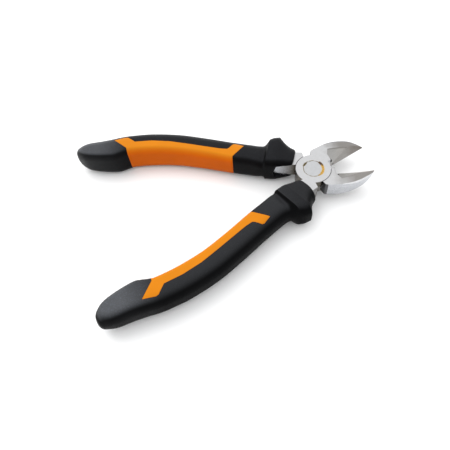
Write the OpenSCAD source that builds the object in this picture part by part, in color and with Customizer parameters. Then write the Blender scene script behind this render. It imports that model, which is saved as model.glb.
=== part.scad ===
// Diagonal cutting pliers, 160 mm class, with two-component grips.
// Each half is drawn closed, in its own frame: the pivot runs along Z through the origin, the
// jaw points along +X below the X axis, and the handle runs along -X above it. The front half
// is the same shape turned over about the X axis, but for the slant of its cutting edge: the two
// edges meet on one line that crosses the middle plane near the tip and is lower at the heel.

/* [Pose] */
// Angle between the two cutting edges as the tool lies at rest
rest_opening = 28; // [0:1:46]

/* [Joint] */
// Half of the thickness of the steel head
head_half = 4.2; // [4:0.1:5]
// Radius of each half's round boss around the pivot
boss_r = 9; // [8.5:0.1:9.5]
// Gap between a boss and the shoulders of the other half
boss_gap = 0.3; // [0.2:0.05:0.5]
// Gap between the faces that slide on each other
lap_gap = 0.1; // [0.05:0.01:0.2]
// Radius of the rivet's shank
shank_r = 3.5; // [3:0.1:4]
// Radius of the rivet's flush head
rivet_head_r = 5; // [4.5:0.1:5.5]
// Thickness of the rivet's flush head
rivet_head_t = 1.6; // [1:0.1:2]
// Radius of the rivet's upset tail
rivet_tail_r = 4.6; // [4.2:0.1:5]
// Thickness of the rivet's upset tail
rivet_tail_t = 1.2; // [0.8:0.1:1.6]
// Running clearance around the shank
shank_clearance = 0.05; // [0.02:0.01:0.1]
// Running clearance around and under the head
head_clearance = 0.1; // [0.05:0.01:0.1]

/* [Jaws] */
// Distance from the pivot to the tip of the jaws
tip_x = 32; // [28:0.1:36]
// Distance from the X axis to the straight part of a jaw's back
jaw_back = 10.7; // [10:0.1:12]
// Where the straight back ends and its round nose begins
nose_x = 14; // [12:0.5:16]
// Distance from each cutting edge to the plane where they meet
edge_gap = 0.1; // [0.05:0.05:0.2]
// Half of the width of the flat left on a cutting edge
edge_land = 0.1; // [0.05:0.05:0.2]
// Distance from the pivot to where the cutting edge crosses the middle plane
edge_level_x = 28.5; // [22:0.5:30]
// Slant of the cutting edge, down toward the heel
edge_slant = 6.3; // [0:0.1:9]
// Angle of the cutting bevels to the middle plane
bevel_angle = 50; // [40:1:60]
// Angle at which the jaw's upper face falls away toward the tip
crown_angle = 5.2; // [3:0.1:7]
// Angle at which the jaw's lower face rises toward the tip
sole_angle = 12.7; // [8:0.1:14]
// Angle at which the upper face falls away at the tip itself
tip_angle = 22; // [15:1:30]
// Where the fall at the tip begins
tip_start_x = 26.5; // [25:0.5:29]
// Height of the hollow facet over the edge where that is level with the middle plane
facet_z = 1.95; // [1.5:0.05:2.2]
// Slant of the hollow facet, down toward the heel
facet_slant = 3.5; // [0:0.5:5]
// Slope of the hollow facet, up toward the jaw's back
facet_angle = 23.5; // [20:0.5:26]
// Radius of the relief hole at the heel of the cutting edge
relief_r = 0.8; // [0.5:0.1:1]
// Distance from the pivot to the relief hole
relief_x = 12.6; // [11.5:0.1:13]
// Distance from the X axis to the centre of the relief hole
relief_y = 2; // [1.2:0.1:2.6]

/* [Handles] */
// Half of the thickness of the tang inside the grip
tang_half = 3; // [2.5:0.1:3.2]

/* [Grips] */
// Wall of the soft cover over the hard core
cover_wall = 2.4; // [2:0.1:3]
// Half of the thickness of the buried part of the core
core_half = 4.8; // [4.5:0.1:5.2]
// Half of the height of the slot that shows the neck
slot_half = 4.4; // [4:0.1:4.6]
// Front end of the core
core_front_x = -30; // [-31:0.5:-29]
// Lengthwise steps between two stations of the grip
steps = 3; // [2:1:4]
// Steps around each rounded corner of the grip's section
corner_steps = 5; // [3:1:6]

/* [Hidden] */
$fn = 96;
BIG = 60;
STEEL = "silver";
ORANGE = "darkorange";
BLACK = "#26262a";

// The jaw's square end behind its back, next to the other half's neck
jaw_step = [[6.4, -jaw_back], [5.1, -10.3], [3.8, -8.2]];

// The neck, as thick as the head: its end beside the boss, its inner edge, and its outer edge
// inside the grip
neck = [[-4.7, 10.9], [-4.2, 8], [0, 4], [-6, 3], [-9.5, 3], [-15, 3.3], [-22, 4.2], [-22, 10.5],
        [-13, 12], [-8.5, 11.3]];

// Side view of the slot that shows the neck, up to its open front
slot = [[-19.6, -slot_half], [-20.8, -0.6], [-19, slot_half], [0, slot_half], [0, -slot_half]];

// Edge of the flat face where the ground jaw faces begin
flat_end = [[10.9, 2], [10.9, -0.3], [11.5, -4.2], [14.2, -7.8]];

// The nose is a circle tangent to the straight back, through the tip
nose_run = tip_x - nose_x;
nose_drop = jaw_back - edge_gap;
nose_r = (nose_run * nose_run + nose_drop * nose_drop) / (2 * nose_drop);
nose_steps = 24;
nose_sweep = asin(nose_run / nose_r);
nose = [for (i = [0 : nose_steps])
    let (a = nose_sweep * (1 - i / nose_steps))
    [nose_x + nose_r * sin(a), -jaw_back + nose_r * (1 - cos(a))]];

// Tang inside the grip: its inner edge from the neck to the tail, and its outer edge back
tang_inner = [[-9.5, 3], [-21, 3.9], [-30, 8], [-45, 11.5], [-60, 15.5], [-72, 18.5], [-85, 20],
              [-100, 19], [-112, 17.5]];
tang_outer = [[-112, 22.5], [-100, 25], [-85, 26], [-72, 24.5], [-60, 21], [-45, 17], [-30, 14.5],
              [-14, 12.2], [-8.5, 11.3]];

// Grip stations from the butt to the front: inner edge, outer edge and half thickness.
GRIP = [
    [[-127.7, 18.5], [-127.8, 21.6], 2.2],
    [[-126.9, 16.8], [-126.9, 23.2], 4.6],
    [[-124.8, 15.1], [-124.6, 24.4], 6.4],
    [[-121, 13.4], [-120.4, 25.5], 7.4],
    [[-114, 12.2], [-113, 26.2], 7.8],
    [[-106, 11.8], [-106, 27.4], 8],
    [[-102.5, 12.8], [-103, 28.1], 8],
    [[-98.5, 14.4], [-100, 28.6], 8],
    [[-95, 15], [-96, 29], 8],
    [[-85, 15.2], [-85, 29.3], 8],
    [[-72, 14], [-70, 27.9], 7.8],
    [[-58, 10.9], [-55, 24.5], 7.6],
    [[-44, 7.1], [-41, 20.8], 7.4],
    [[-34, 4.8], [-31, 18.4], 7.3],
    [[-29, 3.4], [-26.5, 17.7], 6.9],
    [[-26.2, 2.8], [-23.5, 18.4], 6.4],
    [[-25, 2.5], [-20.6, 21], 8.2],
    [[-21.5, 2], [-18.3, 21.8], 8.3],
    [[-19.5, 1.9], [-15.3, 22], 8.2],
    [[-15.6, 2.1], [-13, 18.5], 7.4],
    [[-12.8, 2.1], [-10.6, 15.9], 6.8],
    [[-10.9, 2.4], [-8.3, 14.6], 6.3],
    [[-10.2, 3.6], [-7.6, 13.2], 5.8]
];

// Radii of the section's corners next to the inner and the outer edge, across and in height
inner_round = [2.8, 4.6];
outer_round = [6.2, 6.4];
// Part of the available room that a corner's radii may take
round_share = 0.98;

// The slot reaches from the inner side to this distance from the X axis, past the neck's edge
slot_depth_y = 5;

// Window in the soft cover through which the hard core shows: two slanted tabs and a strip
// that follows the grip's inner edge.
WINDOW = [
    [-97.5, -5], [-98, 14], [-98.5, 17.2], [-105.7, 23.1], [-99.8, 24.8], [-98.4, 24.6],
    [-94.2, 21.2], [-85, 21.4], [-75, 20.3], [-65, 18], [-55, 15.5], [-48, 13.8],
    [-44.3, 13.3], [-43.2, 13.9], [-40.8, 16.6], [-39.6, 16.8], [-35.3, 14.9], [-41.5, 8.3],
    [-41.7, -5]
];

// Smooth interpolation through a list of equal-shaped values, at a whole or broken index.
function cubic(a, b, c, d, t) =
    b + 0.5 * t * (c - a + t * (2 * a - 5 * b + 4 * c - d + t * (3 * (b - c) + d - a)));
function at(list, i) = list[min(max(i, 0), len(list) - 1)];
function through(list, s) =
    let (i = min(floor(s), len(list) - 2))
    cubic(at(list, i - 1), at(list, i), at(list, i + 1), at(list, i + 2), s - i);

// One ring of the grip in the upright plane through its inner and outer edge points.
function corner(centre, round, from) =
    [for (i = [0 : corner_steps])
        let (a = from + 90 * i / corner_steps)
        [centre[0] + round[0] * cos(a), centre[1] + round[1] * sin(a)]];
function section(width, half) =
    let (k = min(1, width / (inner_round[0] + outer_round[0])) * round_share,
         ri = [inner_round[0] * k, min(inner_round[1], half) * round_share],
         ro = [outer_round[0] * k, min(outer_round[1], half) * round_share])
    concat(corner([width - ro[0], half - ro[1]], ro, 0),
           corner([ri[0], half - ri[1]], ri, 90),
           corner([ri[0], ri[1] - half], ri, 180),
           corner([width - ro[0], ro[1] - half], ro, 270));
function ring(inner, outer, half) =
    let (width = norm(outer - inner), dir = (outer - inner) / width)
    [for (p = section(width, half)) [inner[0] + dir[0] * p[0], inner[1] + dir[1] * p[0], p[1]]];
function rings() =
    [for (n = [0 : (len(GRIP) - 1) * steps])
        let (s = n / steps)
        ring(through([for (g = GRIP) g[0]], s), through([for (g = GRIP) g[1]], s),
             through([for (g = GRIP) g[2]], s))];

// The core's buried bar: the grip stations it follows, set in from both edges, and its front end.
CORE_RANGE = [-122, -30];
CORE_FRONT = [[core_front_x, 7], [core_front_x, 14.5]];
CORE_STATIONS = [for (g = GRIP) if (g[0][0] > CORE_RANGE[0] && g[0][0] < CORE_RANGE[1]) g];
function inset(from, to) = from + (to - from) / norm(to - from) * cover_wall;

module loft(stack) {
    n = len(stack[0]);
    last = len(stack) - 1;
    sides = [for (k = [0 : last - 1], j = [0 : n - 1])
        [(k + 1) * n + j, (k + 1) * n + (j + 1) % n, k * n + (j + 1) % n, k * n + j]];
    caps = [[for (j = [0 : n - 1]) j], [for (j = [n - 1 : -1 : 0]) last * n + j]];
    polyhedron(points = [for (r = stack) each r], faces = concat(sides, caps), convexity = 6);
}

module slab(half) {
    linear_extrude(height = 2 * half, center = true)
        children();
}

module jaw_outline() {
    polygon(concat([[0, -edge_gap]], nose, jaw_step));
}

module neck_outline() {
    polygon(neck);
}

module tang_outline() {
    polygon(concat(tang_inner, tang_outer));
}

// Height of the jaw's upper face at a distance from the pivot
function crown_z(x) = head_half - (x - nose_x) * tan(crown_angle);

// Everything above a plane through a point, slanted along X and sloping up toward -Y.
module above(point, slant, slope) {
    translate(point)
        rotate([0, -slant, 0])
            rotate([-slope, 0, 0])
                translate([-BIG, -BIG, 0])
                    cube([2 * BIG, 2 * BIG, BIG / 2]);
}

// The ground faces of one side of the jaw: nose taper, hollow facet and cutting bevel. On the
// other side the slants are turned round.
module grinding(side) {
    above([nose_x, 0, head_half], side > 0 ? -crown_angle : -sole_angle, 0);
    if (side > 0)
        above([tip_start_x, 0, crown_z(tip_start_x)], -tip_angle, 0);
    intersection() {
        slab(BIG)
            polygon(concat(flat_end, [[BIG, -7.8], [BIG, 2]]));
        union() {
            above([edge_level_x, 0, facet_z], side * facet_slant, facet_angle);
            above([edge_level_x, -edge_gap, edge_land], side * edge_slant, bevel_angle);
        }
    }
}

// One steel half: boss, jaw and tang, with its bore and the recess for the rivet's head or tail.
// The cutting edge is lower at the heel with side = 1, and higher with side = -1.
module steel_half(side, bore_r, recess_r, recess_t) {
    difference() {
        union() {
            translate([0, 0, -head_half])
                cylinder(h = head_half - lap_gap / 2, r = boss_r);
            difference() {
                union() {
                    slab(head_half)
                        jaw_outline();
                    slab(head_half)
                        neck_outline();
                }
                translate([0, 0, -lap_gap / 2])
                    cylinder(h = head_half + 1, r = boss_r + boss_gap);
            }
            slab(tang_half)
                tang_outline();
        }
        grinding(side);
        mirror([0, 0, 1])
            grinding(-side);
        translate([relief_x, -relief_y, 0])
            cylinder(h = BIG, r = relief_r, center = true);
        cylinder(h = BIG, r = bore_r, center = true);
        translate([0, 0, -head_half - 1])
            cylinder(h = 1 + recess_t, r = recess_r);
    }
}

module window_slab() {
    slab(BIG / 2)
        polygon(WINDOW);
}

module core_bar() {
    last = len(CORE_STATIONS) - 1;
    inner = [for (g = CORE_STATIONS) inset(g[0], g[1])];
    outer = [for (i = [last : -1 : 0]) inset(CORE_STATIONS[i][1], CORE_STATIONS[i][0])];
    slab(core_half)
        polygon(concat(inner, CORE_FRONT, outer));
}

// All the steel that the grip closes around.
module grip_bore() {
    slab(tang_half)
        tang_outline();
    slab(head_half)
        neck_outline();
}

module grip_core() {
    difference() {
        union() {
            intersection() {
                loft(rings());
                window_slab();
            }
            core_bar();
        }
        grip_bore();
    }
}

module grip_cover() {
    difference() {
        loft(rings());
        window_slab();
        core_bar();
        grip_bore();
        translate([0, slot_depth_y, 0])
            rotate([90, 0, 0])
                linear_extrude(height = BIG)
                    polygon(slot);
    }
}

module rear_pose() {
    translate([0, 0, head_half])
        rotate([0, 0, -rest_opening / 2])
            children();
}

module front_pose() {
    translate([0, 0, head_half])
        rotate([0, 0, rest_opening / 2])
            rotate([180, 0, 0])
                children();
}

module rear_half() {
    color(STEEL)
        rear_pose()
            steel_half(1, shank_r, rivet_tail_r, rivet_tail_t);
}

module front_half() {
    color(STEEL)
        front_pose()
            steel_half(-1, shank_r + shank_clearance, rivet_head_r + head_clearance,
                       rivet_head_t + head_clearance);
}

module pivot_rivet() {
    color(STEEL)
        union() {
            cylinder(h = 2 * head_half, r = shank_r);
            cylinder(h = rivet_tail_t, r = rivet_tail_r);
            translate([0, 0, 2 * head_half - rivet_head_t])
                cylinder(h = rivet_head_t, r = rivet_head_r);
        }
}

module rear_grip_core() {
    color(ORANGE)
        rear_pose()
            grip_core();
}

module front_grip_core() {
    color(ORANGE)
        front_pose()
            grip_core();
}

module rear_grip_cover() {
    color(BLACK)
        rear_pose()
            grip_cover();
}

module front_grip_cover() {
    color(BLACK)
        front_pose()
            grip_cover();
}

rear_half();
front_half();
pivot_rivet();
rear_grip_core();
front_grip_core();
rear_grip_cover();
front_grip_cover();
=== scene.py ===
"""Diagonal cutting pliers: the detailed pieces, their looks and their studio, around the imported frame.

Shapes are drawn in millimetres and degrees, and scaled to metres when they are finished. Each half is drawn
closed, in its own frame: the pivot runs along Z through the origin, the jaw points along +X below the X
axis, and the handle runs along -X above it. The front half is drawn by the same outlines, and then turned
over about the X axis. The near side of a jaw is the one that faces up as the tool lies, and the far side is
its underside.
"""

import math

import bmesh
import bpy
from mathutils import Matrix, Vector


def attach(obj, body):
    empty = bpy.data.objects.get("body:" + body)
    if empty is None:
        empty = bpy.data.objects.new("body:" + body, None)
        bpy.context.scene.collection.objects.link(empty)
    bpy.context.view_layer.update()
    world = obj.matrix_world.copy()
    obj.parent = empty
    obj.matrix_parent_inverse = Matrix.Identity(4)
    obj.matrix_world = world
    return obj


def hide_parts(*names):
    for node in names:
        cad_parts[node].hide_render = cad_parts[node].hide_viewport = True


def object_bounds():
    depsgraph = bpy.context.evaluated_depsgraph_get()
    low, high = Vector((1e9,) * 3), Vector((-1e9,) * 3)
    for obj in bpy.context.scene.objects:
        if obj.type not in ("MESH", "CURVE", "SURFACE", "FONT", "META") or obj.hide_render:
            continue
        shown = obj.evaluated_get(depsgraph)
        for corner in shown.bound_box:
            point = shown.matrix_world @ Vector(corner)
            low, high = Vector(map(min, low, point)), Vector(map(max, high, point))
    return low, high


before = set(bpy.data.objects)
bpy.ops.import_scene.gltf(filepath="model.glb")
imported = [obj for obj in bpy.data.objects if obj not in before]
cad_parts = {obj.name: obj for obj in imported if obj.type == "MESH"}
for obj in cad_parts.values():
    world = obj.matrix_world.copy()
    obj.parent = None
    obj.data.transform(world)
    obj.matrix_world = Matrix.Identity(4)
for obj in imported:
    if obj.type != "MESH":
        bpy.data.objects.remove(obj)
cad_box = [list(p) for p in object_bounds()]
scene = bpy.context.scene

MM = 0.001

# ---------------------------------------------------------------- driving sizes
REST_OPENING = 28.0     # angle between the halves as the tool lies at rest
HEAD_HALF = 4.2         # half of the thickness of the steel head
BOSS_R = 9.0            # round boss around the pivot
BOSS_GAP = 0.3          # between a boss and the other half's shoulders
LAP_GAP = 0.1           # between the faces that slide on each other

SHANK_R = 3.5
SHANK_CLEARANCE = 0.05
RIVET_HEAD_R = 5.0
RIVET_HEAD_T = 1.6
HEAD_CLEARANCE = 0.1
RIVET_TAIL_R = 4.6
RIVET_TAIL_T = 1.2
TAIL_CLEARANCE = 0.05
SEAM = 0.01             # by which the rivet's head is drawn smaller and lower, and its recess wider

TIP_X = 32.0
JAW_BACK = 10.7         # from the X axis to the straight part of a jaw's back
NOSE_X = 14.0           # where the straight back ends and the round nose begins
GAP = 0.1               # from each cutting edge to the plane where they meet
LAND = 0.1              # half of the width of the flat left on a cutting edge
EDGE_LEVEL_X = 28.5     # where the cutting edge crosses the middle plane
EDGE_SLANT = 6.3        # of the cutting edge, down toward the heel
CROWN_ANGLE = 5.2       # at which the near face falls away toward the tip
SOLE_ANGLE = 12.7       # at which the far face rises toward the tip
TIP_ANGLE = 22.0        # at which the near face falls away at the tip itself
TIP_START_X = 26.5
FACET_Z = 1.95          # height of the far facet's plane over the middle plane, at EDGE_LEVEL_X
FACET_SLANT = 3.5       # at which the far facet falls toward the tip
FACET_ANGLE = 23.5      # at which it rises toward the jaw's back
NEAR_FACET = (-3.38, 0.193, -0.695)     # its plane: height at the origin, and rise in X and in Y
HOLLOW = 0.16           # depth of both facets' hollow
BEVEL_ANGLE = 48.0      # of the far cutting bevel
RELIEF_R = 0.8          # relief hole at the heel of the cutting edge
RELIEF_AT = (12.6, -2.0)

TANG_HALF = 3.0         # half of the thickness of the tang inside a grip
CORE_HALF = 4.8         # half of the thickness of the hard core's buried bar
COVER_WALL = 2.4        # wall of the soft cover over that bar
WINDOW_GAP = 0.1        # seam between the hard core and the soft cover

# ---------------------------------------------------------------- outlines
NECK = [(-4.7, 10.9), (-4.2, 8), (0, 4), (-6, 3), (-9.5, 3), (-15, 3.3), (-22, 4.2), (-22, 10.5), (-13, 12),
        (-8.5, 11.3)]
JAW_STEP = [(6.4, -JAW_BACK), (5.1, -10.3), (3.8, -8.2)]
FLAT_END = [(10.9, 2), (10.9, -0.3), (11.5, -4.2), (14.2, -7.8), (60, -7.8), (60, 2)]
TANG = [(-9.5, 3), (-21, 3.9), (-30, 8), (-45, 11.5), (-60, 15.5), (-72, 18.5), (-85, 20), (-100, 19),
        (-112, 17.5), (-112, 22.5), (-100, 25), (-85, 26), (-72, 24.5), (-60, 21), (-45, 17), (-30, 14.5),
        (-14, 12.2), (-8.5, 11.3)]

# Side view of the slot that shows the neck, in X and Z, and how far past the X axis it reaches.
SLOT = [(-19.6, -4.4), (-20.8, -0.6), (-19, 4.4), (0, 4.4), (0, -4.4)]
SLOT_DEPTH = 5.0

# Grip stations from the butt to the front: inner edge, outer edge and half thickness.
GRIP = [
    ((-127.7, 18.5), (-127.8, 21.6), 2.2), ((-126.9, 16.8), (-126.9, 23.2), 4.6),
    ((-124.8, 15.1), (-124.6, 24.4), 6.4), ((-121, 13.4), (-120.4, 25.5), 7.4),
    ((-114, 12.2), (-113, 26.2), 7.8), ((-106, 11.8), (-106, 27.4), 8),
    ((-102.5, 12.8), (-103, 28.1), 8), ((-98.5, 14.4), (-100, 28.6), 8),
    ((-95, 15), (-96, 29), 8), ((-85, 15.2), (-85, 29.3), 8),
    ((-72, 14), (-70, 27.9), 7.8), ((-58, 10.9), (-55, 24.5), 7.6),
    ((-44, 7.1), (-41, 20.8), 7.4), ((-34, 4.8), (-31, 18.4), 7.3),
    ((-29, 3.4), (-26.5, 17.7), 6.9), ((-26.2, 2.8), (-23.5, 18.4), 6.4),
    ((-25, 2.5), (-20.6, 21), 8.2), ((-21.5, 2), (-18.3, 21.8), 8.3),
    ((-19.5, 1.9), (-15.3, 22), 8.2), ((-15.6, 2.1), (-13, 18.5), 7.4),
    ((-12.8, 2.1), (-10.6, 15.9), 6.8), ((-10.9, 2.4), (-8.3, 14.6), 6.3),
    ((-10.2, 3.6), (-7.6, 13.2), 5.8)]
CREASES = (16, 18)      # the stations at which the guard has a crease

# Radii of the grip's corners next to the inner and the outer edge, across and in height.
INNER_ROUND = (2.8, 4.6)
OUTER_ROUND = (6.2, 6.4)
ROUND_SHARE = 0.98      # part of its radius, or of the room for it, that a corner takes

# The stations that the core's buried bar follows, by where their inner edges lie, and its front end.
CORE_RANGE = (-122, -30)
CORE_FRONT = [(-30, 7), (-30, 14.5)]

# Window in the soft cover: two slanted tabs, and a strip that follows the grip's inner edge.
WINDOW = [
    (-97.5, -5), (-98, 14), (-98.5, 17.2), (-105.7, 23.1), (-99.8, 24.8), (-98.4, 24.6), (-94.2, 21.2),
    (-85, 21.4), (-75, 20.3), (-65, 18), (-55, 15.5), (-48, 13.8), (-44.3, 13.3), (-43.2, 13.9),
    (-40.8, 16.6), (-39.6, 16.8), (-35.3, 14.9), (-41.5, 8.3), (-41.7, -5)]


# ---------------------------------------------------------------- camera
def set_camera():
    """A close camera above the tool and a little to its left, turned slightly about its own axis."""
    elevation, yaw, roll = math.radians(58.742), math.radians(8.541), math.radians(7.108)
    look = Vector((-48.776, -24.717, HEAD_HALF))
    distance, sensor, lens = 223.0, 36.0, 36.048

    data = bpy.data.cameras.new("camera")
    data.sensor_width = sensor
    data.lens = lens
    data.clip_start = 0.01
    data.clip_end = 10
    cam = bpy.data.objects.new("camera", data)
    scene.collection.objects.link(cam)

    back = Vector((0, -math.cos(elevation), math.sin(elevation)))
    aim = (-back).to_track_quat("-Z", "Y").to_matrix().to_4x4()
    turn = Matrix.Rotation(-yaw, 4, "Z")
    pose = turn @ Matrix.Translation(look + back * distance) @ aim @ Matrix.Rotation(-roll, 4, "Z")
    pose.translation *= MM
    cam.matrix_world = pose
    scene.camera = cam


# ---------------------------------------------------------------- mesh helpers
def frange(a, b, n):
    """n + 1 even values from a to b."""
    return [a + (b - a) * i / n for i in range(n + 1)]


def slope(angle):
    return math.tan(math.radians(angle))


def from_bmesh(name, bm):
    mesh = bpy.data.meshes.new(name)
    bmesh.ops.recalc_face_normals(bm, faces=bm.faces)
    bm.to_mesh(mesh)
    bm.free()
    obj = bpy.data.objects.new(name, mesh)
    scene.collection.objects.link(obj)
    return obj


def stack(name, rings, kinds=(0, 0)):
    """A closed solid through equal rings of points. The kinds are those of its ends and of its sides."""
    bm = bmesh.new()
    rows = [[bm.verts.new(p) for p in ring] for ring in rings]
    count = len(rows[0])
    for a, b in zip(rows, rows[1:]):
        for j in range(count):
            k = (j + 1) % count
            bm.faces.new((a[j], a[k], b[k], b[j])).material_index = kinds[1]
    for row in (rows[0][::-1], rows[-1]):
        bm.faces.new(row).material_index = kinds[0]
    return from_bmesh(name, bm)


def prism(outline, z0, z1, kinds=(0, 0), name="prism"):
    return stack(name, [[(x, y, z) for x, y in outline] for z in (z0, z1)], kinds)


def circle(r, steps):
    angles = [2 * math.pi * k / steps for k in range(steps)]
    return [(r * math.cos(a), r * math.sin(a)) for a in angles]


def rod(r, z0, z1, kinds, steps=160):
    return prism(circle(r, steps), z0, z1, kinds, "rod")


def lathe(name, profile):
    """A solid of revolution about Z. Its profile of radii and heights starts and ends on the axis."""
    steps = 128
    bm = bmesh.new()
    rows = []
    for r, z in profile:
        points = circle(r, steps) if r else [(0, 0)]
        rows.append([bm.verts.new((x, y, z)) for x, y in points])
    for a, b in zip(rows, rows[1:]):
        for k in range(steps):
            q = (k + 1) % steps
            if len(a) == 1:
                bm.faces.new((a[0], b[k], b[q]))
            elif len(b) == 1:
                bm.faces.new((a[k], a[q], b[0]))
            else:
                bm.faces.new((a[k], a[q], b[q], b[k]))
    return from_bmesh(name, bm)


def field(name, height, xs, ys, top, kind):
    """Everything between a height field over a grid and a flat top."""
    bm = bmesh.new()
    low = [[bm.verts.new((x, y, height(x, y))) for y in ys] for x in xs]
    high = [[bm.verts.new((x, y, top)) for y in ys] for x in xs]
    m, n = len(xs) - 1, len(ys) - 1
    for grid in (low, high):
        for a, b in zip(grid, grid[1:]):
            for j in range(n):
                bm.faces.new((a[j], a[j + 1], b[j + 1], b[j]))
    for i in range(m):
        for j in (0, n):
            bm.faces.new((low[i][j], low[i + 1][j], high[i + 1][j], high[i][j]))
    for j in range(n):
        for i in (0, m):
            bm.faces.new((low[i][j], low[i][j + 1], high[i][j + 1], high[i][j]))
    for f in bm.faces:
        f.material_index = kind
    return from_bmesh(name, bm)


def settle(obj):
    """Apply the object's modifiers to its mesh."""
    deps = bpy.context.evaluated_depsgraph_get()
    mesh = bpy.data.meshes.new_from_object(obj.evaluated_get(deps))
    old = obj.data
    obj.modifiers.clear()
    obj.data = mesh
    bpy.data.meshes.remove(old)


def drop(obj):
    mesh = obj.data
    bpy.data.objects.remove(obj)
    bpy.data.meshes.remove(mesh)


def combine(a, b, op, keep=False):
    """Join, cut or intersect a with b, and drop b unless it is kept."""
    mod = a.modifiers.new("solid", "BOOLEAN")
    mod.operation = op
    mod.object = b
    mod.solver = "EXACT"
    settle(a)
    if not keep:
        drop(b)
    return a


def turned(obj, matrix):
    obj.data.transform(matrix)
    if matrix.determinant() < 0:
        obj.data.flip_normals()
    return obj


def grown(outline, d):
    """The outline moved out by d on every side."""
    area = sum(p[0] * q[1] - q[0] * p[1] for p, q in zip(outline, outline[1:] + outline[:1]))
    d = d if area > 0 else -d
    out = []
    for i, p in enumerate(outline):
        a, b = Vector(outline[i - 1]), Vector(outline[(i + 1) % len(outline)])
        p = Vector(p)
        u, v = (p - a).normalized(), (b - p).normalized()
        nu, nv = Vector((u.y, -u.x)), Vector((v.y, -v.x))
        m = (nu + nv) / max(0.3, 1 + nu.dot(nv))
        out.append(tuple(p + m * d))
    return out


def place(side):
    """Where the rear half's frame (side 1) or the front half's (side -1) lies at rest, in metres."""
    m = Matrix.Translation((0, 0, HEAD_HALF * MM))
    m = m @ Matrix.Rotation(math.radians(-side * REST_OPENING / 2), 4, "Z")
    return m if side > 0 else m @ Matrix.Rotation(math.pi, 4, "X")


def finish_mesh(obj, paints, side=0, rounding=0, sharp=11):
    """Clean the mesh, round its sharp edges, paint it, scale it to metres, place it and shade it smooth."""
    weld = 0.004
    bm = bmesh.new()
    bm.from_mesh(obj.data)
    bmesh.ops.remove_doubles(bm, verts=bm.verts, dist=weld)
    bmesh.ops.dissolve_degenerate(bm, dist=weld, edges=bm.edges)
    bmesh.ops.recalc_face_normals(bm, faces=bm.faces)
    bm.to_mesh(obj.data)
    bm.free()
    if rounding:
        mod = obj.modifiers.new("round", "BEVEL")
        mod.width = rounding
        mod.segments = 2
        mod.limit_method = "ANGLE"
        mod.angle_limit = math.radians(32)
        mod.use_clamp_overlap = True
        settle(obj)
    mesh = obj.data

    # Clearing the materials also clears the faces' indices, so they are kept and put back.
    kinds = [p.material_index for p in mesh.polygons]
    mesh.materials.clear()
    for paint in paints:
        mesh.materials.append(paint)
    mesh.polygons.foreach_set("material_index", kinds)

    mesh.transform(Matrix.Scale(MM, 4))
    for p in mesh.polygons:
        p.use_smooth = True
    mesh.set_sharp_from_angle(angle=math.radians(sharp))
    obj.matrix_world = place(side) if side else Matrix.Identity(4)
    return obj


# ---------------------------------------------------------------- grips
def cubic(a, b, c, d, t):
    """Smooth interpolation from b to c."""
    return b + 0.5 * t * (c - a + t * (2 * a - 5 * b + 4 * c - d + t * (3 * (b - c) + d - a)))


def stations(steps):
    """The grip's stations with smooth ones between, broken only at the creases."""
    flat = [g[0] + g[1] + (g[2],) for g in GRIP]
    out = []
    ends = [0, *CREASES, len(flat) - 1]
    for lo, hi in zip(ends, ends[1:]):
        part = flat[lo:hi + 1]
        for i in range(len(part) - 1):
            quad = [part[min(max(k, 0), len(part) - 1)] for k in (i - 1, i, i + 1, i + 2)]
            for s in range(steps):
                out.append([cubic(*(q[v] for q in quad), s / steps) for v in range(5)])
    out.append(list(flat[-1]))
    return out


def section(width, half):
    """Rounded section of a grip, with an elliptical corner at each end of its flat top and bottom."""
    steps = 10
    k = min(1, width / (INNER_ROUND[0] + OUTER_ROUND[0])) * ROUND_SHARE
    ri = (INNER_ROUND[0] * k, min(INNER_ROUND[1], half) * ROUND_SHARE)
    ro = (OUTER_ROUND[0] * k, min(OUTER_ROUND[1], half) * ROUND_SHARE)
    corners = ((width - ro[0], half - ro[1], ro, 0), (ri[0], half - ri[1], ri, 90),
               (ri[0], ri[1] - half, ri, 180), (width - ro[0], ro[1] - half, ro, 270))
    pts = []
    for cx, cz, r, start in corners:
        for i in range(steps + 1):
            a = math.radians(start + 90 * i / steps)
            pts.append((cx + r[0] * math.cos(a), cz + r[1] * math.sin(a)))
    return pts


def grip_loft():
    rings = []
    for x0, y0, x1, y1, half in stations(6):
        a, b = Vector((x0, y0)), Vector((x1, y1))
        width = (b - a).length
        across = (b - a) / width
        rings.append([(a.x + across.x * p, a.y + across.y * p, q) for p, q in section(width, half)])
    return stack("loft", rings)


def core_bar():
    """The part of the hard core that is buried in the soft cover."""
    def inset(p, q):
        p, q = Vector(p), Vector(q)
        return tuple(p + (q - p).normalized() * COVER_WALL)

    followed = [g for g in GRIP if CORE_RANGE[0] < g[0][0] < CORE_RANGE[1]]
    inner = [inset(g[0], g[1]) for g in followed]
    outer = [inset(g[1], g[0]) for g in followed][::-1]
    return prism(inner + CORE_FRONT + outer, -CORE_HALF, CORE_HALF)


def bury_steel(obj):
    """Take away the room of the steel that runs inside a grip."""
    combine(obj, prism(TANG, -TANG_HALF, TANG_HALF), "DIFFERENCE")
    combine(obj, prism(NECK, -HEAD_HALF, HEAD_HALF), "DIFFERENCE")


def grip(body, side, orange, black):
    """The hard core and the soft cover of one handle."""
    reach = 30              # well past the grip's outside
    core = combine(grip_loft(), prism(WINDOW, -reach, reach), "INTERSECT")
    core.name = body + "_orange"
    combine(core, core_bar(), "UNION")
    bury_steel(core)

    cover = combine(grip_loft(), prism(grown(WINDOW, WINDOW_GAP), -reach, reach), "DIFFERENCE")
    cover.name = body + "_cover"
    combine(cover, core_bar(), "DIFFERENCE")
    bury_steel(cover)
    slot = turned(prism(SLOT, -SLOT_DEPTH, 2 * reach), Matrix.Rotation(math.pi / 2, 4, "X"))
    combine(cover, slot, "DIFFERENCE")

    soft_edge = 28
    finish_mesh(core, [orange], side, sharp=soft_edge)
    finish_mesh(cover, [black], side, sharp=soft_edge)
    return core, cover


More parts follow.
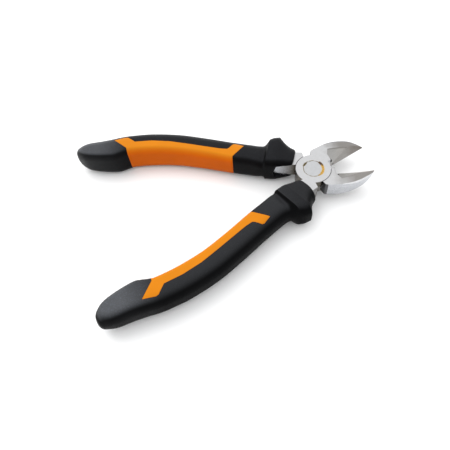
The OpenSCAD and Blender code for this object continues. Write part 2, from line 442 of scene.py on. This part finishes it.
# ---------------------------------------------------------------- steel halves and rivet
# Faces of the DARK kind, in holes, recesses and the gap around the boss, are painted in shade.
FLAT, WALL, FACET, BEVEL, DARK, EDGE, STEP = range(7)   # kinds of face


def nose_circle():
    """Centre, radius and sweep of the nose: a circle that touches the straight back and ends at the tip."""
    run, fall = TIP_X - NOSE_X, JAW_BACK - GAP
    r = (run * run + fall * fall) / (2 * fall)
    return NOSE_X, r - JAW_BACK, r, math.asin(run / r)


def jaw_outline():
    cx, cy, r, sweep = nose_circle()
    nose = [(cx + r * math.sin(sweep * t), cy - r * math.cos(sweep * t)) for t in frange(1, 0, 48)]
    return [(0, -GAP)] + nose + JAW_STEP


def soft_ramp(u, w):
    """u where it is positive, with a smooth start over w."""
    if u <= -w:
        return 0.0
    return u if u >= w else (u + w) ** 2 / (4 * w)


def crown_height(near, x):
    """The face over the jaw's back, a hair above the flat so that it only starts where it falls."""
    angle = CROWN_ANGLE if near else SOLE_ANGLE
    more = slope(TIP_ANGLE) - slope(angle) if near else 0
    return (HEAD_HALF + 0.004 - soft_ramp(x - NOSE_X, 3) * slope(angle)
            - soft_ramp(x - TIP_START_X, 1.2) * more)


def facet_height(near, x, y):
    """The facet between the bevel and the crown, a plane with a slight hollow."""
    hollow = HOLLOW * math.sin(math.pi * min(max((-y - 1) / 6, 0), 1))
    if near:
        base, rise_x, rise_y = NEAR_FACET
        return base + rise_x * x + rise_y * y - hollow
    return FACET_Z - (x - EDGE_LEVEL_X) * slope(FACET_SLANT) - y * slope(FACET_ANGLE) - hollow


def bevel_height(near, x, y):
    """The cutting bevel. The near one is ruled from the edge to a straight ridge on the facet."""
    edge = LAND + (1 if near else -1) * (x - EDGE_LEVEL_X) * slope(EDGE_SLANT)
    rise = slope(BEVEL_ANGLE)
    if near:
        ridge = 0.5 + 0.264 * (max(x, 12.8) - 13)
        rise = (facet_height(near, x, -ridge) - edge) / (ridge - GAP)
    return edge + rise * (-y - GAP)


def rim_cutter(near):
    """Cuts the narrow fall along the outer edge of the nose, widest near its middle."""
    cx, cy, r, sweep = nose_circle()
    top = 9
    fall = slope(20)
    rings = []
    for t in frange(0, 1, 40):
        a = sweep * (1.04 * t - 0.02)
        swell = t * 1.15
        width = 0.15
        if 0 < swell < 1:
            width += 0.75 * math.sin(math.pi * swell) ** 0.7
        x0, y0 = cx + (r - width) * math.sin(a), cy - (r - width) * math.cos(a)
        x1, y1 = cx + (r + 1) * math.sin(a), cy - (r + 1) * math.cos(a)
        z = crown_height(near, x0)
        low = z - fall * (width + 1)
        rings.append([(x0, y0, z + 0.01), (x1, y1, low), (x1, y1, top), (x0, y0, top)])
    return stack("rim", rings, (EDGE, EDGE))


def cutters(near):
    """The cutters for the ground faces of a jaw, on its near side or on its far side.

    They stand on the upper side of the frame, and are mirrored where they cut the lower one.
    """
    zone = prism(FLAT_END, -20, 20)
    crown_x = frange(NOSE_X - 3.2, 36, 60)
    crown = field("crown", lambda x, y: crown_height(near, x), crown_x, (-14, 3), 9, FLAT)
    facet = field("facet", lambda x, y: facet_height(near, x, y), (8, 40), frange(3, -9, 36), 14, FACET)
    combine(facet, zone, "INTERSECT", keep=True)
    bevel = field("bevel", lambda x, y: bevel_height(near, x, y), frange(10, 36, 220), (3, -7.5), 22, BEVEL)
    combine(bevel, zone, "INTERSECT")
    return [crown, facet, bevel, rim_cutter(near)]


def steel_half(name, side, bore, recess, depth, paints):
    """One half, with its bore and the recess for the rivet's head or tail."""
    lap = LAP_GAP / 2
    past = 8                # well past the faces of the head
    body = prism(jaw_outline(), -HEAD_HALF, HEAD_HALF, (FLAT, WALL), name)
    combine(body, prism(NECK, -HEAD_HALF, HEAD_HALF, (FLAT, WALL)), "UNION")
    combine(body, rod(BOSS_R + BOSS_GAP, -lap, past, (FLAT, DARK)), "DIFFERENCE")
    combine(body, rod(BOSS_R, -HEAD_HALF, -lap, (FLAT, WALL)), "UNION")
    combine(body, prism(TANG, -TANG_HALF, TANG_HALF, (FLAT, WALL)), "UNION")
    mirror = Matrix.Scale(-1, 4, (0, 0, 1))
    for near in (True, False):
        for cutter in cutters(near):
            combine(body, cutter if near == (side > 0) else turned(cutter, mirror), "DIFFERENCE")
    relief = rod(RELIEF_R, -10, 10, (DARK, DARK), 32)
    combine(body, turned(relief, Matrix.Translation((*RELIEF_AT, 0))), "DIFFERENCE")
    combine(body, rod(bore, -past, past, (DARK, DARK)), "DIFFERENCE")
    combine(body, rod(recess, -past, depth - HEAD_HALF, (DARK, DARK)), "DIFFERENCE")
    mark_step(body)
    return finish_mesh(body, paints, side, rounding=0.16)


def mark_step(body):
    """Give the walls at the square end behind the jaw's back their own kind, whose look is painted shade.
    """
    for f in body.data.polygons:
        in_step = f.center.x < 7 and f.center.y < -7.5
        if f.material_index == WALL and in_step and f.normal.x < -0.2:
            f.material_index = STEP


def make_rivet():
    """The rivet stands in the tool's own frame, with its tail at the bottom."""
    foot = 0.02
    top = 2 * HEAD_HALF - SEAM
    head_r = RIVET_HEAD_R - SEAM
    under_head = 2 * HEAD_HALF - RIVET_HEAD_T
    rivet = lathe("rivet", [
        (0, foot), (RIVET_TAIL_R - 0.15, foot), (RIVET_TAIL_R, foot + 0.12), (RIVET_TAIL_R, RIVET_TAIL_T),
        (SHANK_R, RIVET_TAIL_T), (SHANK_R, under_head), (head_r, under_head), (head_r, top - 0.05),
        (head_r - 0.05, top), (0, top)])
    return finish_mesh(rivet, [steel("rivet_face", (0.464, 0.469, 0.478), 0.34, oil=(1.0, 0.0))])


# ---------------------------------------------------------------- materials
def rgba(r, g, b):
    return (r, g, b, 1.0)


def scaled(value, *parts):
    return tuple(value * part for part in parts)


class Paint:
    """A small builder for one procedural material, in the piece's own frame."""

    def __init__(self, name, **sockets):
        self.mat = bpy.data.materials.new(name)
        self.mat.use_nodes = True
        self.tree = self.mat.node_tree
        self.bsdf = self.tree.nodes["Principled BSDF"]
        for key, value in sockets.items():
            self.bsdf.inputs[key.replace("_", " ")].default_value = value
        coords = self.tree.nodes.new("ShaderNodeTexCoord")
        self.where, self.normal = coords.outputs["Object"], coords.outputs["Normal"]

    def put(self, value, socket):
        if isinstance(value, bpy.types.NodeSocket):
            self.tree.links.new(value, socket)
        else:
            socket.default_value = value

    def node(self, kind, out, ins, **props):
        n = self.tree.nodes.new("ShaderNode" + kind)
        for key, value in props.items():
            setattr(n, key, value)
        for key, value in ins.items():
            self.put(value, n.inputs[key])
        return n.outputs[out]

    def math(self, op, a, b=0.0, c=0.0):
        return self.node("Math", 0, {0: a, 1: b, 2: c}, operation=op)

    def plus(self, a, b):
        return self.math("ADD", a, b)

    def minus(self, a, b):
        return self.math("SUBTRACT", a, b)

    def times(self, a, b):
        return self.math("MULTIPLY", a, b)

    def times_plus(self, a, b, c):
        return self.math("MULTIPLY_ADD", a, b, c)

    def axes(self, vector):
        n = self.tree.nodes.new("ShaderNodeSeparateXYZ")
        self.put(vector, n.inputs[0])
        return n.outputs

    def position(self):
        """X, Y and Z in millimetres."""
        return [self.math("DIVIDE", v, MM) for v in self.axes(self.where)]

    def radius(self, x, y):
        return self.math("SQRT", self.plus(self.times(x, x), self.times(y, y)))

    def uprightness(self):
        """How far a face lies level, from 0 on a wall to 1 on a flat."""
        return self.math("ABSOLUTE", self.axes(self.normal)[2])

    def noise(self, scale, detail, stretch=(1, 1, 1), turn=0.0, rough=0.55):
        """Noise whose scale is in features per mm."""
        spot = self.node("Mapping", 0, {"Vector": self.where, "Scale": [s / MM for s in stretch],
                                        "Rotation": (0, 0, math.radians(turn))})
        return self.node("TexNoise", 0, {"Vector": spot, "Scale": scale, "Detail": detail,
                                         "Roughness": rough})

    def span(self, value, a, b, lo=0.0, hi=1.0, kind="LINEAR"):
        """The value's place between a and b, as a number from lo to hi."""
        ins = {"Value": value, "From Min": a, "From Max": b, "To Min": lo, "To Max": hi}
        return self.node("MapRange", 0, ins, interpolation_type=kind)

    def mix(self, share, a, b):
        return self.node("Mix", 2, {0: share, 6: a, 7: b}, data_type="RGBA")

    def brightened(self, color, value):
        return self.node("HueSaturation", 0, {"Color": color, "Value": value})

    def set(self, socket, value):
        self.put(value, self.bsdf.inputs[socket])

    def bump(self, height, depth, strength):
        ins = {"Strength": strength, "Distance": depth * MM, "Height": height}
        self.set("Normal", self.node("Bump", 0, ins))


def oil_film(p, x, y, sense, turn):
    """Oil on the rivet's rim: how much, and its colour.

    It is one thick crescent with two small patches, and thin elsewhere. The sense and the turn lead from
    the piece's own frame to the rivet's.
    """
    r = p.radius(x, y)
    angle = p.plus(p.math("ARCTAN2", p.times(y, sense), x), math.radians(turn))
    angle = p.plus(angle, p.times(p.minus(p.noise(0.9, 2), 0.5), 0.9))

    def lobe(at, wide):
        nearness = p.math("COSINE", p.minus(angle, math.radians(at)))
        return p.span(nearness, math.cos(math.radians(wide)), math.cos(math.radians(wide * 0.45)))

    crescent, patch, small = lobe(-26, 62), lobe(25, 22), lobe(128, 20)
    width = p.times_plus(crescent, 0.72, p.span(p.noise(0.6, 2), 0.35, 0.6, 0.05, 0.32))
    width = p.math("MAXIMUM", width, p.times(patch, 0.95))
    width = p.math("MAXIMUM", width, p.times(small, 0.75))
    off = p.math("ABSOLUTE", p.minus(r, RIVET_HEAD_R + 0.06))
    amount = p.span(p.math("DIVIDE", off, width), 1.0, 0.55)

    color = p.mix(crescent, rgba(0.2, 0.165, 0.075), rgba(0.5, 0.29, 0.045))
    color = p.mix(patch, color, rgba(0.07, 0.03, 0.004))
    color = p.mix(small, color, rgba(0.09, 0.065, 0.015))
    return amount, color


def steel(name, tone, rough, streak=0.0, film=None, reach=None, film_share=0.85, turn=0.0, oil=None,
          joint_oil_shade=False, step_shade=0.0, grit=0.02):
    """Ground steel.

    streak: how dark the grinding lines are, and turn the angle at which they run.
    film: colour of a brown film that grows along the jaw over the reach, up to film_share.
    oil: the sense and turn of the rivet's oil. joint_oil_shade: a dark brown film on the walls next to the
    joint, partly oil and partly painted shade.
    step_shade: how dark the top of the facet is painted, as painted shade under the step up to the crown.
    grit: depth of the grain.
    """
    p = Paint(name, Metallic=1.0)
    x, y, z = p.position()
    mottle, fine = p.noise(0.5, 4), p.noise(2.4, 3)
    color = p.mix(p.span(mottle, 0.35, 0.68), rgba(*[c * 0.93 for c in tone]), rgba(*tone))
    if film:
        cloud = p.times(p.minus(p.noise(0.22, 2), 0.5), 9)
        color = p.mix(p.span(p.plus(x, cloud), *reach, 0, film_share), color, rgba(*film))
    lines = p.noise(1.0, 4, (0.25, 5.0, 1.2), turn, 0.7)
    if streak:
        color = p.mix(p.span(lines, 0.45, 0.72, 0, streak), color, rgba(*[c * 0.45 for c in tone]))
    if joint_oil_shade:
        # Oil and painted shade on the walls near the joint, where the halves close over them. Further off
        # on the jaw's side, where the film ends sooner.
        r = p.times_plus(p.math("MAXIMUM", x, 0.0), 0.9, p.radius(x, y))
        r = p.plus(r, p.times(fine, 1.5))
        color = p.mix(p.span(r, 18.5, 10.5, 0, 0.94), color, rgba(0.10, 0.085, 0.06))
    if step_shade:
        # Painted shade along the facet's top, under the step up to the crown: depth under the falling
        # crown, which meets the facet's top.
        crown = p.times_plus(p.math("MAXIMUM", p.minus(x, NOSE_X), 0.0), -slope(CROWN_ANGLE), HEAD_HALF)
        depth = p.minus(crown, p.math("ABSOLUTE", z))
        color = p.mix(p.span(depth, 0.5, 0.1, 0, step_shade), color, rgba(0.1, 0.09, 0.08))
    rough = p.plus(p.span(mottle, 0.3, 0.7, rough - 0.04, rough + 0.05),
                   p.span(lines, 0.3, 0.7, -0.03, 0.04))
    if oil:
        amount, amber = oil_film(p, x, y, *oil)
        color = p.mix(p.times(amount, 0.93), color, amber)
        rough = p.times(rough, p.times_plus(amount, -0.35, 1.0))
    p.set("Base Color", p.brightened(color, p.span(fine, 0.25, 0.75, 0.93, 1.07)))
    p.set("Roughness", rough)
    p.bump(p.plus(p.times(lines, 0.6), p.times(fine, 0.4)), grit, 0.5)
    return p.mat


def half_steels(oil, film, reach, facet, bevel, edge):
    """The seven looks of one half, in the order of the kinds of face.

    film, facet, bevel and edge are brightnesses, and reach is where the film on the flats grows. The facet,
    bevel and edge brightnesses are painted light: lit and shaded copies of one ground steel, set for how
    the light falls on each jaw.
    """
    return [
        steel("steel_flat", (0.505, 0.505, 0.511), 0.38, film=scaled(film, 1, 0.925, 0.845), reach=reach,
              oil=oil),
        # The walls are painted darker near the joint: partly oil, partly painted shade.
        steel("steel_wall", (0.53, 0.54, 0.565), 0.24, joint_oil_shade=True, grit=0.006),
        # The facet's look paints shade along its top, under the step up to the crown.
        steel("steel_facet", scaled(facet, 1, 0.98, 0.95), 0.40, 0.25, scaled(facet, 0.85, 0.78, 0.7),
              (14, 26), 0.6, 60, step_shade=0.6),
        steel("steel_bevel", scaled(bevel, 1, 0.96, 0.92), 0.42, 0.4, scaled(bevel, 0.45, 0.39, 0.33),
              (20, 31), turn=55),
        # Painted shade: the walls of the relief hole, the bore, the rivet's recess and the gap around the
        # boss.
        steel("steel_recess", (0.10, 0.09, 0.075), 0.5),
        steel("steel_edge", scaled(edge, 1, 1, 1.02), 0.3),
        # Painted shade on the square end wall behind the jaw's back, which faces away from the light.
        steel("steel_step", (0.15, 0.15, 0.155), 0.42),
    ]


def orange_plastic():
    """Smooth satin plastic of one orange, painted redder on its walls than on its flats to stand in for how
    the light falls on them.
    """
    p = Paint("orange_plastic", Metallic=0.0, Specular_IOR_Level=0.1)
    flat = p.span(p.uprightness(), 0.2, 0.9)
    # Painted shading: walls and flats get different oranges.
    tone = p.mix(flat, rgba(0.72, 0.135, 0.001), rgba(0.54, 0.172, 0.003))
    p.set("Base Color", p.brightened(tone, p.span(p.noise(0.06, 2), 0.35, 0.65, 0.96, 1.04)))
    p.set("Roughness", p.span(p.noise(0.5, 3), 0.3, 0.7, 0.36, 0.46))
    p.bump(p.noise(3.0, 2), 0.015, 0.35)
    return p.mat


def black_rubber(name, shine, butt_shine, flank):
    """Fine-grained rubber of one black, with painted light: its flats are painted a little greyer than its
    flanks, and toward the butts their grain is painted bluish grey and shines more, as a painted highlight.

    The shines are those of the flats, along the grip and at its butt, and flank is that of the flanks.
    """
    p = Paint(name, Metallic=0.0, Specular_Tint=rgba(0.9, 0.94, 1.0))
    x = p.position()[0]
    # Painted highlight toward the butts: the flats' grain turns bluish grey there, and every face shines
    # more.
    butt_sheen = p.span(x, -98, -114)
    guard = p.span(x, -27, -17, 1.0, 0.45)
    flat = p.span(p.uprightness(), 0.62, 1.0, kind="SMOOTHSTEP")
    grain, cloud = p.noise(2.2, 3, rough=0.7), p.noise(0.12, 3)

    # Painted light: the flats are painted a little greyer than the flanks, and their grain is painted as a
    # grey sheen.
    base = p.mix(flat, rgba(0.0035, 0.0035, 0.0038), rgba(0.007, 0.007, 0.0078))
    speck = p.times(p.span(grain, 0.5, 0.72, 0, 0.6), flat)
    p.set("Base Color", p.mix(speck, base, p.mix(butt_sheen, rgba(0.02, 0.021, 0.025), rgba(0.07, 0.078, 0.11))))

    top_gloss = p.times(p.times(p.span(butt_sheen, 0, 1, shine, butt_shine), flat), guard)
    side_gloss = p.times(p.span(cloud, 0.3, 0.7, flank * 0.85, flank * 1.15), p.span(butt_sheen, 0, 1, 1, 2.1))
    p.set("Specular IOR Level", p.plus(top_gloss, side_gloss))
    p.set("Roughness", p.span(grain, 0.3, 0.7, 0.34, 0.48))
    p.bump(grain, 0.16, 0.6)
    return p.mat


# ---------------------------------------------------------------- pieces
def build():
    """Make the seven pieces, and say which body, node and slot each stands for."""
    orange = orange_plastic()
    # Lit and shaded copies of one black rubber: the handles differ only in how much they shine, for how the
    # light falls on each.
    rear_black = black_rubber("black_rubber_rear", 0.04, 0.56, 0.055)
    front_black = black_rubber("black_rubber_front", 0.23, 0.98, 0.025)

    # The front half carries the oily rim on its upper side, which is its own lower side.
    front_steels = half_steels((-1.0, REST_OPENING / 2), 0.18, (11, 22), 0.37, 0.43, 0.26)
    # Painted light: the rear half's facet, bevel and rim edge are painted lighter than the front's, and its
    # bright rim edge is a painted highlight.
    rear_steels = half_steels(None, 0.2, (8, 21), 0.44, 0.60, 0.64)
    front = steel_half("front_steel", -1, SHANK_R + SHANK_CLEARANCE, RIVET_HEAD_R + SEAM,
                       RIVET_HEAD_T + HEAD_CLEARANCE, front_steels)
    rear = steel_half("rear_steel", 1, SHANK_R, RIVET_TAIL_R + TAIL_CLEARANCE,
                      RIVET_TAIL_T + TAIL_CLEARANCE, rear_steels)
    rivet = make_rivet()
    rear_core, rear_cover = grip("rear", 1, orange, rear_black)
    front_core, front_cover = grip("front", -1, orange, front_black)

    for obj, body, node, slot in (
            (front, "front", "front_half", "steel"),
            (rear, "rear", "rear_half", "steel"),
            (rivet, "rear", "pivot_rivet", "rivet_steel"),
            (rear_core, "rear", "rear_grip_core", "orange_core"),
            (rear_cover, "rear", "rear_grip_cover", "black_cover"),
            (front_core, "front", "front_grip_core", "orange_core"),
            (front_cover, "front", "front_grip_cover", "black_cover")):
        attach(obj, body)
        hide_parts(node)


# ---------------------------------------------------------------- floor and light, in metres
def paper_sheet(name, z, tone):
    half = 3
    bm = bmesh.new()
    bm.faces.new([bm.verts.new((x * half, y * half, z)) for x, y in ((-1, -1), (1, -1), (1, 1), (-1, 1))])
    obj = from_bmesh(name, bm)
    p = Paint(name + "_paper", Metallic=0.0, Roughness=0.9, Specular_IOR_Level=0.1)
    paler = tone + 0.02
    p.set("Base Color", p.mix(p.noise(0.01, 2), rgba(tone, tone, tone), rgba(paler, paler, paler)))
    obj.data.materials.append(p.mat)
    return obj


def set_floor():
    """The pale paper is what is seen and mirrored; the duller one under it softens the bounced light."""
    low = cad_box[0][2]
    paper = paper_sheet("floor", low - 0.0002, 0.9)
    paper.visible_diffuse = False
    under = paper_sheet("floor_bounce", low - 0.0003, 0.4)
    under.visible_camera = False
    under.visible_glossy = False


def set_tent():
    """A light tent: brightest above and behind the tool, and darker toward the horizon in front."""
    world = bpy.data.worlds.new("studio")
    scene.world = world
    world.use_nodes = True
    tree = world.node_tree
    back = tree.nodes["Background"]
    back.inputs["Color"].default_value = rgba(0.99, 0.995, 1.0)
    coord = tree.nodes.new("ShaderNodeTexCoord")
    dot = tree.nodes.new("ShaderNodeVectorMath")
    dot.operation = "DOT_PRODUCT"
    dot.inputs[1].default_value = Vector((-0.12, 0.6, 0.8)).normalized()
    ramp = tree.nodes.new("ShaderNodeMapRange")
    ramp.interpolation_type = "SMOOTHSTEP"
    for key, value in (("From Min", -0.4), ("From Max", 0.6), ("To Min", 0.72), ("To Max", 1.42)):
        ramp.inputs[key].default_value = value
    tree.links.new(coord.outputs["Generated"], dot.inputs[0])
    tree.links.new(dot.outputs["Value"], ramp.inputs["Value"])
    tree.links.new(ramp.outputs[0], back.inputs["Strength"])


def set_key():
    """A wide soft light from behind and a little to the left.

    It is hidden from mirror reflections, because the flat steel burnt out where it mirrored this light.
    """
    at, aim = Vector((-0.30, 0.58, 0.86)), Vector((-0.05, 0, 0))
    light = bpy.data.lights.new("key", "AREA")
    light.shape = "DISK"
    light.size = 1.1
    light.energy = 5.5
    key = bpy.data.objects.new("key", light)
    scene.collection.objects.link(key)
    key.location = at
    key.rotation_euler = (aim - at).to_track_quat("-Z", "Y").to_euler()
    key.visible_glossy = False


set_camera()
build()
set_floor()
set_tent()
set_key()
scene.view_settings.view_transform = "Standard"
